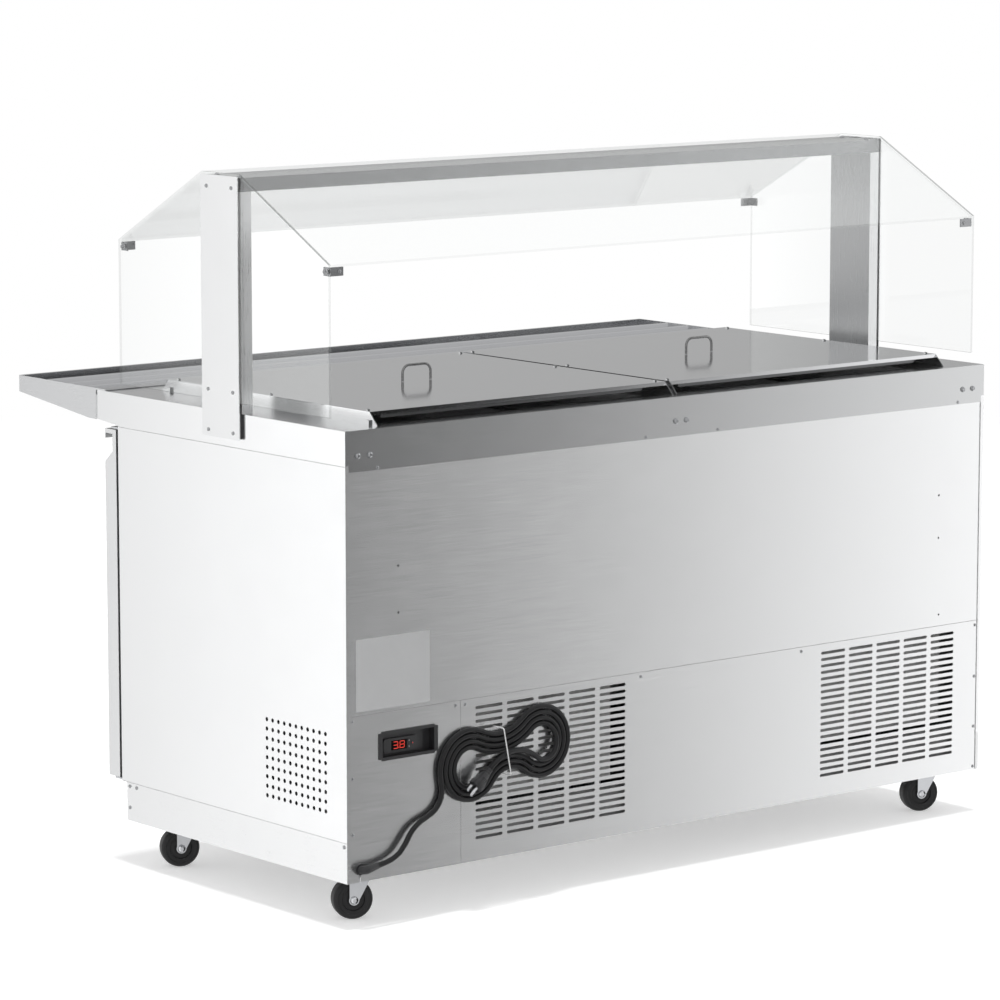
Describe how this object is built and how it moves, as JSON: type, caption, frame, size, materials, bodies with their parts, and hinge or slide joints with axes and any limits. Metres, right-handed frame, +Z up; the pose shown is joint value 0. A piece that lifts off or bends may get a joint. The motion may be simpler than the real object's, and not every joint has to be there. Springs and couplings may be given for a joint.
{
  "type": "mobile salad bar",
  "caption": "Mobile refrigerated salad bar: insulated cabinet on swivel casters with a pan well under lift-off lids, glass sneeze guard, tray slide and doors.",
  "frame": {"origin": "on the floor under the middle of the object's bounding box, without the free cord and what is on it", "axes": "+X towards the end with the vent, along the length; +Y towards the back with the grilles; -Y towards the doors and the tray slide; +Z up"},
  "size_m": [1.5176, 1.0103, 1.26],
  "materials": {
    "casing_steel": "satin",
    "polished_steel": "polished",
    "zinc": "satin",
    "black_plastic": "satin",
    "tyre_rubber": "matte",
    "cord_rubber": "matte",
    "gasket_rubber": "matte",
    "guard_glass": "gloss",
    "foam_lining": "satin",
    "shelf_coating": "satin",
    "fin_metal": "satin",
    "machine_paint": "satin",
    "key_plastic": "satin",
    "tie_plastic": "satin"
  },
  "bodies": {
    "cabinet": {"top_surround": "casing_steel", "end_panel_vented": "casing_steel", "end_panel_plain": "casing_steel", "back_panel": "casing_steel", "controller_panel": "casing_steel", "grille_panel": "casing_steel", "base_frame": "zinc", "kick_plate": "casing_steel", "insulated_body": "foam_lining", "front_frame": "casing_steel", "well_liner": "polished_steel", "center_bar": "polished_steel", "food_pans": "polished_steel", "wire_shelves": "shelf_coating", "posts": "casing_steel", "post_covers": "casing_steel", "glass_spacers": "black_plastic", "guard_beam": "polished_steel", "end_glass": "guard_glass", "slope_glass_back": "guard_glass", "slope_glass_front": "guard_glass", "glass_clips": "zinc", "tray_shelf": "polished_steel", "tray_brackets": "casing_steel", "door_hinges": "zinc", "caster_plates": "zinc", "compressor": "machine_paint", "condenser_coil": "fin_metal", "fan_shroud": "machine_paint", "evaporator": "fin_metal", "controller_housing": "black_plastic", "cord_grommet": "black_plastic", "power_cord": "cord_rubber", "cord_hank": "cord_rubber", "plug": "cord_rubber", "hank_tie": "tie_plastic", "bolts": "zinc", "screws": "zinc"},
    "lid_left": {"lid_left_top": "polished_steel", "lid_left_frame": "polished_steel"},
    "lid_right": {"lid_right_top": "polished_steel", "lid_right_frame": "polished_steel"},
    "door_left": {"door_left": "casing_steel", "door_left_liner": "casing_steel", "door_left_gasket": "gasket_rubber"},
    "door_right": {"door_right": "casing_steel", "door_right_liner": "casing_steel", "door_right_gasket": "gasket_rubber"},
    "condenser_fan": {"condenser_fan": "black_plastic"},
    "key_up": {"key_up": "key_plastic"},
    "key_down": {"key_down": "key_plastic"},
    "key_set": {"key_set": "key_plastic"},
    "swivel_1": {"fork_1": "zinc"},
    "caster_wheel_1": {"wheel_1": "tyre_rubber"},
    "swivel_2": {"fork_2": "zinc"},
    "caster_wheel_2": {"wheel_2": "tyre_rubber"},
    "swivel_3": {"fork_3": "zinc"},
    "caster_wheel_3": {"wheel_3": "tyre_rubber"},
    "swivel_4": {"fork_4": "zinc"},
    "caster_wheel_4": {"wheel_4": "tyre_rubber"}
  },
  "joints": [
    {"name": "lid_left_lift", "type": "slide", "parent": "cabinet", "child": "lid_left", "axis": [0, 0, 1], "range_m": [0, 0.15]},
    {"name": "door_left_hinge", "type": "hinge", "parent": "cabinet", "child": "door_left", "pos_m": [0.7365, -0.1909, 0.469], "axis": [0, 0, 1], "range_deg": [0, 95]},
    {"name": "lid_right_lift", "type": "slide", "parent": "cabinet", "child": "lid_right", "axis": [0, 0, 1], "range_m": [0, 0.15]},
    {"name": "door_right_hinge", "type": "hinge", "parent": "cabinet", "child": "door_right", "pos_m": [-0.7365, -0.1909, 0.469], "axis": [0, 0, -1], "range_deg": [0, 95]},
    {"name": "swivel_1_turn", "type": "hinge", "parent": "cabinet", "child": "swivel_1", "pos_m": [0.675, 0.4249, 0.09], "axis": [0, 0, 1], "continuous": true},
    {"name": "caster_wheel_1_spin", "type": "hinge", "parent": "swivel_1", "child": "caster_wheel_1", "pos_m": [0.68779, 0.41921, 0.035], "axis": [0.4067, 0.9135, 0], "continuous": true},
    {"name": "swivel_2_turn", "type": "hinge", "parent": "cabinet", "child": "swivel_2", "pos_m": [0.675, -0.0831, 0.09], "axis": [0, 0, 1], "continuous": true},
    {"name": "caster_wheel_2_spin", "type": "hinge", "parent": "swivel_2", "child": "caster_wheel_2", "pos_m": [0.68779, -0.08879, 0.035], "axis": [0.4067, 0.9135, 0], "continuous": true},
    {"name": "swivel_3_turn", "type": "hinge", "parent": "cabinet", "child": "swivel_3", "pos_m": [-0.675, 0.4249, 0.09], "axis": [0, 0, 1], "continuous": true},
    {"name": "caster_wheel_3_spin", "type": "hinge", "parent": "swivel_3", "child": "caster_wheel_3", "pos_m": [-0.66221, 0.41921, 0.035], "axis": [0.4067, 0.9135, 0], "continuous": true},
    {"name": "swivel_4_turn", "type": "hinge", "parent": "cabinet", "child": "swivel_4", "pos_m": [-0.675, -0.0831, 0.09], "axis": [0, 0, 1], "continuous": true},
    {"name": "caster_wheel_4_spin", "type": "hinge", "parent": "swivel_4", "child": "caster_wheel_4", "pos_m": [-0.66221, -0.08879, 0.035], "axis": [0.4067, 0.9135, 0], "continuous": true},
    {"name": "condenser_fan_spin", "type": "hinge", "parent": "cabinet", "child": "condenser_fan", "pos_m": [0.301, 0.3749, 0.22775], "axis": [0, 1, 0], "continuous": true},
    {"name": "key_up_press", "type": "slide", "parent": "cabinet", "child": "key_up", "axis": [0, -1, 0], "range_m": [0, 0.0008], "stiffness_N_per_m": 300, "springref_m": -0.001},
    {"name": "key_down_press", "type": "slide", "parent": "cabinet", "child": "key_down", "axis": [0, -1, 0], "range_m": [0, 0.0008], "stiffness_N_per_m": 300, "springref_m": -0.001},
    {"name": "key_set_press", "type": "slide", "parent": "cabinet", "child": "key_set", "axis": [0, -1, 0], "range_m": [0, 0.0008], "stiffness_N_per_m": 300, "springref_m": -0.001}
  ]
}
